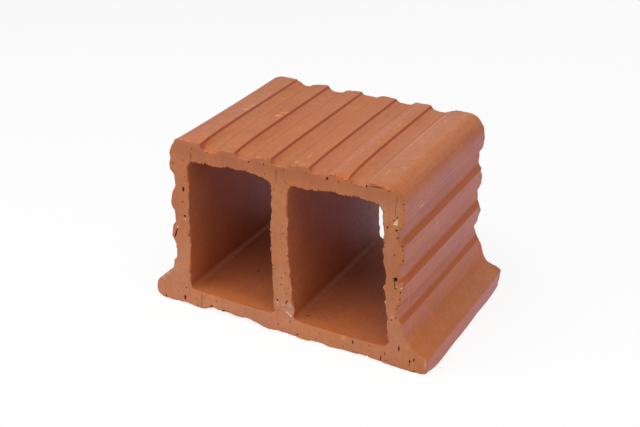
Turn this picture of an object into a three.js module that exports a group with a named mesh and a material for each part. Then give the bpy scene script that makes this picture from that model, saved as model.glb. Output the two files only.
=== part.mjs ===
import * as THREE from 'three';

// A hollow clay filler block for a ribbed concrete floor: one extruded, wire-cut and fired piece.
// Millimetres. The origin is at the middle of the underside, +X across the block, +Y along the
// extrusion and +Z up.

// Overall sizes
const BASE_WIDTH = 300; // foot tip to foot tip
const HEIGHT = 183;
const LENGTH = 182; // cut face to cut face, along the extrusion

// Feet: the flanges that stand out along the bottom edges and meet the next block
const FOOT_REACH = 25; // foot tip beyond the side wall
const FOOT_TIP_HEIGHT = 18.5;
const FOOT_TIP_ROUND = 1.6;
const FOOT_SWEEP_HEIGHT = 48.2; // the lip where the foot's hollow sweep starts
const FOOT_SWEEP_IN = 3.2; // how far out of the wall and up from the tip the sweep's tangents cross
const FOOT_SWEEP_UP = 6;
const FOOT_LIP = 3.8; // how far the lip stands out of the lowest groove's floor
const FOOT_LIP_FLANK = 3.5; // and how far it lies below that floor

// Side walls and the top
const SIDE_LEAN = 3; // how far each side leans in from the base to the top
const TOP_CORNER_ROUND = 19;

// Plaster and concrete keys: shallow grooves across the top and up the sides. Each has a steep
// flank and an easy one: steep on the left on the top, below on the right side and above on the left.
const GROOVE_DEPTH = 4.5;
const SHOULDER_ROUND = 0.8; // where a flank leaves the surface
const EASY_FOOT_ROUND = 3;
const TOP_GROOVE_PITCH = 38.2;
const TOP_GROOVE_WIDTH = 21.4; // at its mouth
const TOP_GROOVE_SHIFT = -0.2; // each mouth's middle, to the right of its pitch line
const TOP_STEEP_FLANK = 1.1; // how far a flank runs across the surface
const TOP_STEEP_DEPTH = 2.1; // a top groove's steep flank goes down this far
const TOP_STEEP_FOOT_ROUND = 0.6;
const TOP_HOLLOW = 8; // from there the floor falls the rest of the depth within this run
const TOP_HOLLOW_ROUND = 14;
const TOP_EASY_FLANK = 6;
const TOP_GROOVE_MARGIN = 32; // least distance from a top groove's middle to the block's side
const SIDE_GROOVE_PITCH = 39.8;
const SIDE_GROOVE_FLOOR = 12.2; // width of its flat floor
const SIDE_STEEP_FLANK = 4.2;
const SIDE_STEEP_FOOT_ROUND = 5;
const SIDE_EASY_FLANK = 5.8;
const SIDE_GROOVE_MARGIN = 40; // least distance from a side groove's middle to the top

// The two cells
const FLOOR_WALL = 19.5;
const TOP_WALL = 22; // at a cell's left edge
const CEILING_RISE = 3.5; // each cell's ceiling climbs this much from left to right
const WEB = 19.5; // at the floor and the ceiling
const WEB_BOW = 3.2; // the middle of the web stands this far to the left at mid-height
const WEB_WAIST = 1.8; // and is this much thinner there
const SIDE_WALL_LOW = 16; // at the cell floor, measured from the crests
const SIDE_WALL_HIGH = 21; // at the cell ceiling
const CELL_FLOOR_ROUND = 5;
const CELL_CEILING_ROUND = 9;

const CURVE_STEPS = 8; // straight pieces in each rounded corner
const CLAY_COLOUR = 0xb4704e;

const halfBase = BASE_WIDTH / 2;
const sideAt = (z) => halfBase - FOOT_REACH - SIDE_LEAN * (z / HEIGHT);

// A corner of an outline. A round corner is a tangent arc; a swept one pulls the whole curve
// between its two neighbours towards itself.
const corner = (x, z, round = 0) => ({ point: new THREE.Vector2(x, z), round });
const swept = (x, z) => ({ point: new THREE.Vector2(x, z), sweep: true });

// The closed outline through a ring of corners
function outline(corners, path = new THREE.Shape()) {
  const ring = corners.map((each, i) => {
    if (each.sweep) return each;
    const before = corners.at(i - 1).point.clone().sub(each.point).normalize();
    const after = corners[(i + 1) % corners.length].point.clone().sub(each.point).normalize();
    const turn = Math.PI - Math.acos(THREE.MathUtils.clamp(before.dot(after), -1, 1));
    const setback = each.round * Math.tan(turn / 2);
    const handle = setback - (4 / 3) * Math.tan(turn / 4) * each.round;
    const along = (direction, distance) => each.point.clone().addScaledVector(direction, distance);
    return {
      start: along(before, setback),
      pullIn: along(before, handle),
      pullOut: along(after, handle),
      end: along(after, setback),
    };
  });
  path.moveTo(...ring[0].end);
  for (let i = 1; i <= ring.length; i++) {
    const here = ring[i % ring.length];
    if (here.sweep) {
      path.quadraticCurveTo(...here.point, ...ring[(i + 1) % ring.length].start);
      continue;
    }
    if (!ring[i - 1].sweep) path.lineTo(...here.start);
    if (here.start.distanceTo(here.end) > 0) path.bezierCurveTo(...here.pullIn, ...here.pullOut, ...here.end);
  }
  return path;
}

// Across one groove with its floor's middle at 0: shoulder, foot, foot, shoulder, as distances
// along and into the surface and the corner's round. The flanks come in order along the outline.
const grooveSteps = (floor, [firstFlank, lastFlank], [firstFootRound, lastFootRound]) => [
  [-floor / 2 - firstFlank, 0, SHOULDER_ROUND],
  [-floor / 2, GROOVE_DEPTH, firstFootRound],
  [floor / 2, GROOVE_DEPTH, lastFootRound],
  [floor / 2 + lastFlank, 0, SHOULDER_ROUND],
];

// One side from the foot up, drawn for the right. The lowest groove ends below at the foot's lip.
function sideCorners(flanks, footRounds) {
  const steps = grooveSteps(SIDE_GROOVE_FLOOR, flanks, footRounds);
  const lipFoot = FOOT_SWEEP_HEIGHT + FOOT_LIP_FLANK;
  const lowest = lipFoot + SIDE_GROOVE_FLOOR / 2;
  const count = 1 + Math.floor((HEIGHT - SIDE_GROOVE_MARGIN - lowest) / SIDE_GROOVE_PITCH);
  const corners = [
    corner(halfBase, 0, FOOT_TIP_ROUND),
    corner(halfBase, FOOT_TIP_HEIGHT, FOOT_TIP_ROUND),
    swept(sideAt(0) + FOOT_SWEEP_IN, FOOT_TIP_HEIGHT + FOOT_SWEEP_UP),
    corner(sideAt(lipFoot) - GROOVE_DEPTH + FOOT_LIP, FOOT_SWEEP_HEIGHT, SHOULDER_ROUND),
    corner(sideAt(lipFoot) - GROOVE_DEPTH, lipFoot, SIDE_STEEP_FOOT_ROUND),
  ];
  for (let i = 0; i < count; i++) {
    for (const [along, depth, round] of i === 0 ? steps.slice(2) : steps) {
      const z = lowest + i * SIDE_GROOVE_PITCH + along;
      corners.push(corner(sideAt(z) - depth, z, round));
    }
  }
  corners.push(corner(sideAt(HEIGHT), HEIGHT, TOP_CORNER_ROUND));
  return corners;
}

// The top from right to left, with one groove on the middle line and the rest in pairs
function topCorners() {
  const floor = TOP_GROOVE_WIDTH - TOP_STEEP_FLANK - TOP_EASY_FLANK;
  const floorMiddle = TOP_GROOVE_SHIFT - (TOP_EASY_FLANK - TOP_STEEP_FLANK) / 2;
  const pairs = Math.floor((sideAt(HEIGHT) - TOP_GROOVE_MARGIN) / TOP_GROOVE_PITCH);
  const steps = grooveSteps(floor, [TOP_EASY_FLANK, TOP_STEEP_FLANK], [EASY_FOOT_ROUND, 0]);
  steps[2] = [floor / 2, TOP_STEEP_DEPTH, TOP_STEEP_FOOT_ROUND];
  steps.splice(2, 0, [floor / 2 - TOP_HOLLOW, GROOVE_DEPTH, TOP_HOLLOW_ROUND]);
  const corners = [];
  for (let i = pairs; i >= -pairs; i--) {
    for (const [along, depth, round] of steps) {
      corners.push(corner(i * TOP_GROOVE_PITCH + floorMiddle - along, HEIGHT - depth, round));
    }
  }
  return corners;
}

// One through cell. side is 1 for the right one and -1 for the left one.
function cellOutline(side) {
  const floor = FLOOR_WALL;
  const ceilingLeft = HEIGHT - TOP_WALL;
  const ceilingRight = ceilingLeft + CEILING_RISE;
  const ceilingIn = side > 0 ? ceilingLeft : ceilingRight;
  const ceilingOut = side > 0 ? ceilingRight : ceilingLeft;
  const webFace = (side * WEB) / 2;
  const bow = WEB_BOW + (side * WEB_WAIST) / 2;
  return outline(
    [
      corner(side * (sideAt(0) - SIDE_WALL_LOW), floor, CELL_FLOOR_ROUND),
      corner(side * (sideAt(HEIGHT) - SIDE_WALL_HIGH), ceilingOut, CELL_CEILING_ROUND),
      corner(webFace, ceilingIn, CELL_CEILING_ROUND),
      swept(webFace - 2 * bow, (floor + ceilingIn) / 2),
      corner(webFace, floor, CELL_FLOOR_ROUND),
    ],
    new THREE.Path(),
  );
}

function blockGeometry() {
  const sideFlanks = [SIDE_STEEP_FLANK, SIDE_EASY_FLANK];
  const sideFootRounds = [SIDE_STEEP_FOOT_ROUND, EASY_FOOT_ROUND];
  const rightSide = sideCorners(sideFlanks, sideFootRounds);
  const mirrored = ({ point, ...rest }) => ({ ...rest, point: new THREE.Vector2(-point.x, point.y) });
  const leftSide = sideCorners(sideFlanks.toReversed(), sideFootRounds.toReversed()).map(mirrored).reverse();
  const section = outline([...rightSide, ...topCorners(), ...leftSide]);
  section.holes.push(cellOutline(1), cellOutline(-1));
  const geometry = new THREE.ExtrudeGeometry(section, {
    depth: LENGTH,
    bevelEnabled: false,
    curveSegments: CURVE_STEPS,
  });
  geometry.translate(0, 0, -LENGTH / 2);
  geometry.rotateX(Math.PI / 2);
  return geometry;
}

const firedClay = new THREE.MeshStandardMaterial({ color: CLAY_COLOUR, roughness: 0.9, metalness: 0 });
const hollowBlock = new THREE.Mesh(blockGeometry(), firedClay);
hollowBlock.name = 'hollow_block';

const model = new THREE.Group();
model.add(hollowBlock);

export default model;
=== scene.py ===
import math

import bmesh
import bpy
import numpy as np
from mathutils import Matrix, Vector
from mathutils.geometry import delaunay_2d_cdt


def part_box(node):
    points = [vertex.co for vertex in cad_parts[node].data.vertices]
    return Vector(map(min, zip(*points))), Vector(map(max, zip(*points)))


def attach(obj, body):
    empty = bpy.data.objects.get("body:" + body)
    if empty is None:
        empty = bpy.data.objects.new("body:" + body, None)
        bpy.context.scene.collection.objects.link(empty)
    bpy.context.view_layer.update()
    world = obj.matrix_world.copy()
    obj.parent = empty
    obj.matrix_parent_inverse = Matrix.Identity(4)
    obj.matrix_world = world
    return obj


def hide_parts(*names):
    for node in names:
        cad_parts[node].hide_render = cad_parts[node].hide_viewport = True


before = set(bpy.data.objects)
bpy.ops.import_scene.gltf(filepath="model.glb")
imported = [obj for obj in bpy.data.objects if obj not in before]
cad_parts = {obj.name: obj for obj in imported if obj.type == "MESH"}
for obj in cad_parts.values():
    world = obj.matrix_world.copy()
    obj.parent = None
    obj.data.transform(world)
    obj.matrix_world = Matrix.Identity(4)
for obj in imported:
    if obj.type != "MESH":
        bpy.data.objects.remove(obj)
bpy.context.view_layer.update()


# ---------------------------------------------------------------- the clay column
# A length of coarse red clay, pushed through a die with two cores and cut off with a wire.
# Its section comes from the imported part. The rest is how the soft clay sagged, chipped and
# dragged on the way to the kiln.

MM = 0.001
NODE = "hollow_block"
low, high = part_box(NODE)
BACK = high.y / MM                      # the cut faces stand at -BACK and +BACK
BOX_LOW = np.array(low) / MM
BOX_HIGH = np.array(high) / MM


def section_loops(mesh):
    """The closed outlines of the section at the front cut, in millimetres across and up."""
    points = [tuple(round(c / MM, 3) for c in v.co) for v in mesh.vertices]
    sides = set()
    for face in mesh.polygons:
        ring = [points[i] for i in face.vertices]
        if all(p[1] < 0.01 - BACK for p in ring):
            sides.update((ring[i - 1], ring[i]) for i in range(len(ring)))
    after = {a: b for a, b in sides if (b, a) not in sides}
    loops = []
    while after:
        start = min(after)
        loop = [start]
        while after[loop[-1]] != start:
            loop.append(after.pop(loop[-1]))
        after.pop(loop[-1])
        loops.append(np.array([(p[0], p[2]) for p in loop]))
    return sorted(loops, key=lambda loop: (np.ptp(loop[:, 0]) < BOX_HIGH[0], loop[0, 0]))


def spaced(loop, gap):
    """The same outline with points about gap millimetres apart, and closer round its corners."""
    closed = np.vstack([loop, loop[:1]])
    step = np.diff(closed, axis=0)
    way = np.arctan2(step[:, 1], step[:, 0])
    bend = abs((way - np.roll(way, 1) + np.pi) % (2 * np.pi) - np.pi)
    run = np.concatenate([[0], np.cumsum(np.hypot(*step.T) + bend + np.roll(bend, -1))])
    at = np.linspace(0, run[-1], int(round(run[-1] / gap)), endpoint=False)
    return np.stack([np.interp(at, run, closed[:, k]) for k in (0, 1)], axis=1)


def eased(values, points):
    """The values round a loop, each averaged with its neighbours to that many points off."""
    reach = np.arange(-int(3 * points), int(3 * points) + 1)
    weight = np.exp(-0.5 * (reach / points) ** 2)
    return sum(w * np.roll(values, k) for k, w in zip(reach, weight / weight.sum()))


def outward(loop):
    """The directions that lead out of the clay all round a loop, eased round its corners."""
    along = np.roll(loop, -1, axis=0) - np.roll(loop, 1, axis=0)
    along /= np.hypot(*along.T)[:, None]
    along = np.stack([eased(along[:, 0], 5), eased(along[:, 1], 5)], axis=1)
    along /= np.hypot(*along.T)[:, None]
    return np.stack([along[:, 1], -along[:, 0]], axis=1)


def lumps(points, size, seed):
    """Smooth noise from -1 to 1 at points in millimetres, with lumps of that size."""
    cell = np.asarray(points, float) / size
    base = np.floor(cell).astype(np.int64)
    part = cell - base
    part = part * part * (3 - 2 * part)
    total = np.zeros(cell.shape[:-1])
    for corner in np.ndindex(*(2,) * cell.shape[-1]):
        step = np.array(corner)
        # Big odd numbers scatter the value at each corner of the grid.
        mix = np.full(total.shape, seed * 974634777, np.int64)
        for axis, factor in zip(range(cell.shape[-1]), (374761393, 668265263, 2147483629)):
            mix = mix + (base[..., axis] + step[axis]) * factor
        mix = (mix ^ (mix >> 13)) * 1274126177
        mix = (mix ^ (mix >> 16)) & 0xFFFF
        total += np.prod(np.where(step == 1, part, 1 - part), axis=-1) * (mix / 32767.5 - 1)
    return total


def share(values, start, end):
    """0 up to the start, 1 from the end on, and evenly rising between them."""
    return np.clip((values - start) / (end - start), 0, 1)


def untangled(points, loop):
    """The moved points, with neighbours that overran each other laid evenly again."""
    want = np.roll(loop, -1, axis=0) - loop
    for _ in range(12):
        step = np.roll(points, -1, axis=0) - points
        overran = (step * want).sum(axis=1) < 0.12 * (want * want).sum(axis=1)
        overran |= np.roll(overran, 1)
        middle = (np.roll(points, 1, axis=0) + np.roll(points, -1, axis=0)) / 2
        points = np.where(overran[:, None], middle, points)
    return points


MOST_OUT = 6.5                          # a drawn edge farther off than this is another edge


def stands_out(loop, drawn, closed=True):
    """How far out of the loop the drawn edge runs at each point; zero where it isn't drawn."""
    drawn = np.array(drawn + drawn[:1] if closed else drawn, float)
    step, out = np.diff(drawn, axis=0), outward(loop)
    gap = drawn[None, :-1] - loop[:, None]
    with np.errstate(divide="ignore", invalid="ignore"):
        turn = out[:, None, 0] * step[None, :, 1] - out[:, None, 1] * step[None, :, 0]
        far = (gap[..., 0] * step[None, :, 1] - gap[..., 1] * step[None, :, 0]) / turn
        on_edge = (gap[..., 0] * out[:, None, 1] - gap[..., 1] * out[:, None, 0]) / turn
        far = np.where((on_edge >= 0) & (on_edge <= 1) & (abs(far) < MOST_OUT), far, np.inf)
    nearest = far[np.arange(len(loop)), abs(far).argmin(axis=1)]
    return np.where(np.isinf(nearest), 0, nearest)


# The edge that the wire left at the front, across and up in millimetres: along the
# underside, up the right, over the ridges and down the left.
FRONT_EDGE = [
    (-146, 2.2), (-143.5, 1.2), (-140, 0.4), (-137, 0.8), (-133, 0), (-125, 1), (-116, 1.9), (-108, 1),
    (-100, 0.2), (-92, 0.3), (-87, 3.2), (-82, 5.2), (-76, 4.6), (-71, 3.8), (-66, 5), (-61, 4.2),
    (-55, 2.6), (-50, 3.2), (-43, 4.6), (-38, 3.6), (-31, 2.8), (-27, 0.6), (-21, 0), (-14, 0.2), (-9, 1.4),
    (2, 1.8), (10, 1.2), (17, 0), (25, 0.2), (30, 1.6), (42, 1.8), (50, 0.4), (57, 1.2), (66, 2), (75, 1.8),
    (83, 3), (92, 2.2), (102, 1.6), (110, 0.6), (120, 0), (134, 0.2), (141, 0.6), (146.6, 1.8), (149, 4.4),
    (150, 9.5), (149.8, 13), (149, 16.4), (146, 18.6), (139, 20.6), (133.5, 24), (129.5, 28.5), (127, 33),
    (124.6, 39), (122.6, 45), (120.5, 50), (118.4, 53), (117.6, 58), (117.8, 63), (118.8, 67.5), (121, 71),
    (121.8, 75), (121.6, 79), (122.8, 83), (124.2, 87), (124, 90.5), (119.5, 91.6), (118.2, 94),
    (117.6, 99), (117.8, 104), (118.6, 108), (121, 110.3), (123.6, 112), (123, 118), (122.8, 124),
    (122.6, 128.5), (119.2, 130.6), (118.2, 134), (117.6, 139), (118.2, 142.5), (120, 144.6),
    (122.2, 147.5), (122.9, 152), (122.4, 160), (122.5, 167), (120.8, 172.5), (117.5, 177), (113, 179.8),
    (108, 181.6), (100, 182.4), (91, 182.3), (88, 181.2), (85, 178.6), (80, 177.4), (76, 176.9),
    (73.6, 177), (71.8, 177.8), (70.2, 180.2), (67, 181.4), (62, 181.8), (57, 182), (53, 182.2),
    (49.5, 181.6), (47, 180.3), (44, 179.4), (38, 178.9), (34.6, 178.7), (32.3, 179.2), (31, 181.2),
    (29, 182.6), (20, 182.7), (14, 182), (10.5, 180.6), (8, 179), (5, 178.2), (0, 177.7), (-5, 177.9),
    (-8, 178.7), (-9.8, 181.5), (-12.6, 182.5), (-19, 182), (-26, 181.2), (-30, 179.4), (-33, 177.7),
    (-38, 176.7), (-42, 176.5), (-45, 177), (-46.8, 179.3), (-49, 180.9), (-57, 181.2), (-62, 180.4),
    (-66.3, 179.2), (-68, 177), (-70, 175.9), (-75, 175.8), (-79, 175.6), (-81.6, 176.4), (-83.4, 179.2),
    (-86.4, 181.5), (-96, 182.1), (-105, 182.6), (-109.5, 182.2), (-112.8, 181.9), (-115, 180.2),
    (-116, 177), (-117.8, 174.6), (-119.6, 171.6), (-121, 168), (-121.4, 164.5), (-121.2, 160),
    (-122.2, 154), (-122.6, 150), (-121.4, 146.8), (-118.6, 144.4), (-117.8, 140), (-117.4, 134),
    (-118.2, 130.6), (-119.8, 127), (-121.8, 123), (-123, 118), (-124, 113), (-123.6, 109.6), (-122, 106.4),
    (-120.4, 104.8), (-120.2, 98), (-120.3, 92.5), (-122.2, 89.8), (-124, 87.6), (-125.1, 81), (-125.2, 78),
    (-126, 75.4), (-123.4, 72.4), (-122.4, 69), (-120.8, 66.4), (-122.8, 64), (-121.4, 61.6), (-122, 57.5),
    (-121.8, 55), (-122.9, 51.6), (-125.6, 48.6), (-126.3, 44), (-127.2, 38.8), (-130.5, 34.6),
    (-136, 29.8), (-142, 24.6), (-146.6, 20.6), (-148.6, 16), (-149.7, 11.5), (-150, 7.5), (-148.8, 4),
]

# The far end, from the right foot up and over the ridges, as far as it differs.
BACK_EDGE = [
    (140, 0), (144, 1), (146.6, 3.2), (147.8, 6), (148.4, 10), (148.8, 15), (149, 18.8), (147, 20.8),
    (142, 22.6), (137, 23.4), (133, 25.5), (130.5, 29), (128.5, 34), (127, 39.5), (125.5, 43), (123, 47.5),
    (121, 51), (119.3, 54), (117.8, 59), (117.4, 62), (118, 66), (120.5, 71), (122, 77), (123, 80),
    (122.5, 83), (121, 88), (119.5, 91), (119, 96), (118.5, 100), (118.5, 102), (120, 106), (121.8, 110),
    (122.5, 114), (122.3, 120), (121.3, 124), (121.3, 128), (119, 130.5), (118, 133), (118, 140),
    (118.3, 144), (120, 147), (121.5, 150), (122, 152), (122.5, 160), (122.3, 169), (121.5, 171.5),
    (119.5, 173), (118, 175), (115, 179.6), (110, 182.2), (104, 183), (96, 183), (92, 182.6), (88, 181.4),
    (84, 179.6), (80, 178.4), (74, 178.1), (69, 178.6), (67.5, 180.2), (66, 182.4), (62, 183), (54, 183),
    (49, 182.8), (47, 181.4), (44, 179.6), (40, 179.1), (33, 179.4), (30, 180.4), (28.4, 182.2), (25, 183),
    (19, 183), (14, 183), (9, 181.6), (6, 180), (2, 180.6), (-4, 180.3), (-7.5, 180.1), (-9.2, 181.4),
    (-11, 183), (-14, 183), (-22, 182.4), (-29, 180.8), (-32, 178.9), (-35, 177.9), (-42, 177.2),
    (-45.6, 178.3), (-47.4, 180.6), (-49.4, 182.4), (-53, 182.8), (-60, 182), (-64, 181), (-67, 179.2),
    (-70, 178.4), (-76, 178), (-79, 178.4), (-80.4, 179.8), (-84.4, 181.2), (-86, 182.8), (-90, 183),
    (-97, 183), (-105, 183), (-110, 181.6),
]

# The mouths of the two cells at the front, and where the web ends up at the back.
LEFT_MOUTH = [
    (-106.8, 23.5), (-105, 21), (-100, 20.2), (-80, 19.6), (-50, 19), (-25, 18.7), (-17, 18.9),
    (-12.5, 20.6), (-11.2, 24), (-12.2, 30), (-12.3, 36), (-11.9, 45), (-12.1, 55), (-12.5, 65),
    (-12.6, 75), (-12.3, 82), (-12.6, 86), (-13.8, 89), (-12.2, 91), (-13, 97), (-12.8, 105), (-12, 112),
    (-12.4, 118), (-11.2, 125), (-10.6, 135), (-10, 145), (-10, 153), (-10.6, 157.4), (-13, 159.8),
    (-17, 161.4), (-20, 162.2), (-20.8, 164.2), (-23, 163.6), (-30, 164), (-34, 165), (-40, 164.2),
    (-50, 164.2), (-54, 164.8), (-60, 163.7), (-64, 162.4), (-67, 161.4), (-76, 161.6), (-80, 162.6),
    (-85, 161.4), (-92, 161.6), (-96.5, 160.9), (-99.2, 158.6), (-101, 154), (-101.6, 148), (-101.4, 140),
    (-101.3, 131), (-102.4, 122), (-103.4, 114), (-103.9, 106), (-103.6, 98), (-104, 90), (-104.6, 83),
    (-103.4, 76), (-103.8, 68), (-104.6, 61), (-105.6, 54), (-106.8, 46), (-107.2, 38), (-107.4, 30),
]
RIGHT_MOUTH = [
    (9.6, 21.5), (10.2, 25), (10.1, 32), (9.4, 39), (8.4, 43), (7.8, 50), (7.3, 58), (7.2, 65), (6.4, 72),
    (5.6, 80), (5.4, 90), (5.6, 100), (5, 108), (5.8, 116), (6.2, 124), (5.9, 133), (5, 135), (6.5, 137),
    (6.5, 140), (7, 148), (7.8, 155), (9.6, 158.8), (12, 160.4), (15, 161), (22, 161.2), (24, 160.6),
    (30, 160.8), (38, 162), (44, 163), (50, 164), (58, 164.4), (66, 164.4), (72, 165.2), (80, 165.5),
    (86, 165.2), (92, 164.2), (97, 163.2), (100, 160.6), (101.3, 157), (102.2, 150), (102.8, 144),
    (103.4, 136), (103.4, 131), (102.9, 124), (103.3, 118), (103.4, 110), (104, 103), (104.8, 97),
    (106.4, 94.2), (105.8, 91.5), (104.9, 87), (104.4, 81), (105.4, 74), (105.7, 68.6), (105.2, 67),
    (106.3, 63), (106.9, 57), (107.4, 51), (107.3, 45), (108.2, 40), (109, 35), (109.8, 30), (109.6, 25.5),
    (108.2, 21.6), (104.5, 19.6), (100, 19), (85, 18.6), (70, 18.2), (60, 18.2), (45, 18.4), (30, 18.4),
    (18, 18.6), (12, 19.4),
]
WEB_BACK_RIGHT = [
    (20, 19.4), (15, 19.8), (12, 22), (10.8, 28), (10.2, 40), (10, 60), (10, 80), (9.6, 100), (9.2, 120),
    (9.4, 140), (10.2, 152),
]
WEB_BACK_LEFT = [
    (-12, 21), (-9.6, 28), (-9.4, 60), (-9.6, 90), (-9.6, 120), (-9.8, 150),
]

# How far the wire pulled the skin of the top to the right as it passed: where, and how far.
PULLED = ([-105, -85, -47, -9, 29.5, 68, 88], [0, 2.2, 1.5, 0.3, 2, 3.6, 0])


def pull(loop):
    """How far each point of the outline was pulled to the right at the front."""
    return np.interp(loop[:, 0], *PULLED) * share(loop[:, 1], 172, 176)


# The outside, the left cell and the right cell, in that order from here on.
outlines = section_loops(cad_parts[NODE].data)
GAP_OUTSIDE, GAP_CELL = 1.1, 1.3        # millimetres from point to point
loops = [spaced(outlines[0], GAP_OUTSIDE)] + [spaced(o, GAP_CELL) for o in outlines[1:]]
pulled = loops[0] + np.outer(pull(loops[0]), [1, 0])
front_drawn = [stands_out(pulled, FRONT_EDGE), stands_out(loops[1], LEFT_MOUTH),
               stands_out(loops[2], RIGHT_MOUTH)]
back_drawn = [stands_out(loops[0], BACK_EDGE, closed=False),
              stands_out(loops[1], WEB_BACK_LEFT, closed=False),
              stands_out(loops[2], WEB_BACK_RIGHT, closed=False)]

# Dents and torn lips on the walls: across, along from the front cut, up, how wide, how
# long along the column, how deep, all in millimetres.
DENTS = [
    (62, 0, 181.5, 5.5, 5, 1.5), (56, 1.5, 182, 3, 3, 0.6), (107, 0, 181, 7, 4, 0.7),
    (95, 0, 182, 6, 2.5, 0.5), (-112, 95, 181, 9, 80, 0.8), (-84, 0, 179, 4, 12, 0.9),
    (-50, 0, 181, 3, 5, 0.6), (29, 0, 181, 2.5, 5, 0.6), (86, 176, 180, 6, 10, 0.6),
    (118, 4, 128, 3, 7, 0.8), (121, 2, 74, 3, 8, 0.8), (149, 0, 8, 6, 9, 0.4), (150, 120, 2, 5, 14, 0.8),
    (150, 60, 3, 4, 10, 0.6), (-149, 150, 6, 5, 18, 0.9),
]

# Stations along the column, in millimetres from the front cut: close together by the cuts.
NEAR_CUT = [0, 0.35, 0.8, 1.5, 2.4, 3.8, 5.8, 8.6, 12.5, 18, 25]
LENGTH = 2 * BACK
MIDDLE = list(np.linspace(NEAR_CUT[-1], LENGTH - NEAR_CUT[-1], 11)[1:-1])
from_front = np.array(NEAR_CUT + MIDDLE + [LENGTH - d for d in reversed(NEAR_CUT)])
FRONT, REAR = 0, -1                     # the first and the last of these stations
CUT_SEEDS = {FRONT: 71, REAR: 81}


def cut_recess(points, end):
    """How far the wire-cut face lies behind its plane: slow waves, drag lines and grain."""
    seed = CUT_SEEDS[end]
    drag = points * [1, 0.05]
    slow = 0.55 + 0.3 * lumps(points, 46, seed) + 0.16 * lumps(points, 17, seed + 1)
    lines = 0.07 * lumps(drag, 2.6, seed + 2) + 0.05 * lumps(drag, 1.3, seed + 3)
    grain = 0.07 * lumps(points, 3.6, seed + 4) + 0.08 * lumps(points, 1.7, seed + 5)
    return np.maximum(slow + lines + grain, 0.02)


# How uneven the walls are: how much, how wide the lumps are, how much of that width counts
# along the column, and the seed. Then the crumbs by the cuts, with how far in they reach.
WAVES = [(0.24, 42, 0.45, 21), (0.07, 9, 0.3, 31), (0.03, 3.4, 0.01, 41)]
CRUMBS = [(0.34, 4.6, 0.6, 0, 2.6), (0.36, 2.7, 1, 3, 1.4)]


def column_rings(number):
    """Where one loop of the section runs at each station along the column."""
    loop, out, outside = loops[number], outward(loops[number]), number == 0
    across, height = loop.T
    nowhere = np.zeros(len(loop))
    on_foot = share(height, 12, 6) if outside else nowhere
    on_top = share(height, 168, 174) if outside else nowhere
    # Part of what the wire did at the rims runs on along the walls, and the rest is chips,
    # which are deeper along the underside. A sagging cell wall sags for half its length.
    front, back = eased(front_drawn[number], 0.8), eased(back_drawn[number], 0.8)
    keeps = eased(front_drawn[number], 7) * (1 - on_top) + eased(front_drawn[number], 2.5) * on_top
    keeps *= 1 - on_foot
    far_keeps = eased(back_drawn[number], 7)
    sag_reach = 18 if outside else 90
    chip_reach, far_chip_reach = 3.2 + 9.8 * on_foot, 3.0
    if outside:
        crumble = 1 + 0.7 * share(across, 112, 116) * (height > 58)
    else:
        crumble = 1 + 2.0 * share(height, 22, 27)
    arris = (0.7 if outside else 0.35) * (1 + 0.7 * lumps(loop, 9, 11 + number))
    rings = []
    for depth in from_front:
        far = LENGTH - depth
        here = np.column_stack([across, np.full(len(loop), depth), height])
        offset = keeps * np.exp(-depth / sag_reach) + far_keeps * np.exp(-far / sag_reach)
        offset += (front - keeps) * np.exp(-(depth / chip_reach) ** 2)
        offset += (back - far_keeps) * np.exp(-(far / far_chip_reach) ** 2)
        for much, size, along, seed in WAVES:
            offset += much * lumps(here * [1, along, 1], size, seed + number)
        for gap, first_seed in ((depth, 51), (far, 61)):
            for much, size, along, seed, reach in CRUMBS:
                torn_off = lumps(here * [1, along, 1], size, first_seed + seed + number)
                offset += much * crumble * torn_off * np.exp(-gap / reach)
            by_edge = np.clip(1 - gap / np.maximum(arris, 0.1), 0, 1)
            offset -= arris * (1 - np.sqrt(1 - by_edge ** 2)) * 0.9
        if outside:
            for x, y, z, wide, long, deep in DENTS:
                span = (here - [x, y, z]) / [wide, long, wide]
                offset -= deep * np.exp(-(span ** 2).sum(axis=1))
        moved = out * offset[:, None]
        place = loop + np.stack([eased(moved[:, 0], 0.7), eased(moved[:, 1], 0.7)], axis=1)
        if outside:
            place[:, 0] += pull(loop) * math.exp(-depth / 22)
        place = untangled(place, loop)
        shift = cut_recess(place, FRONT) * np.exp(-depth / 3) - cut_recess(place, REAR) * np.exp(-far / 3)
        ring = np.column_stack([place[:, 0], depth - BACK + shift, place[:, 1]])
        rings.append(np.clip(ring, BOX_LOW, BOX_HIGH))
    return np.array(rings)


def in_clay(points, edges):
    """Whether each point lies inside the outer edge of a cut and outside its cells."""
    inside = np.zeros(len(points), bool)
    for loop in edges:
        for (ax, az), (bx, bz) in zip(loop, np.roll(loop, -1, axis=0)):
            if az != bz:
                level = (az > points[:, 1]) != (bz > points[:, 1])
                inside ^= level & (points[:, 0] < (bx - ax) * (points[:, 1] - az) / (bz - az) + ax)
    return inside


# The spots on a cut face: how far apart and how far from the rim in millimetres, and how far
# out of line, as a share of that first gap.
GRID, OFF_RIM, SHAKEN = 1.25, 0.75, 0.36


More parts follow.
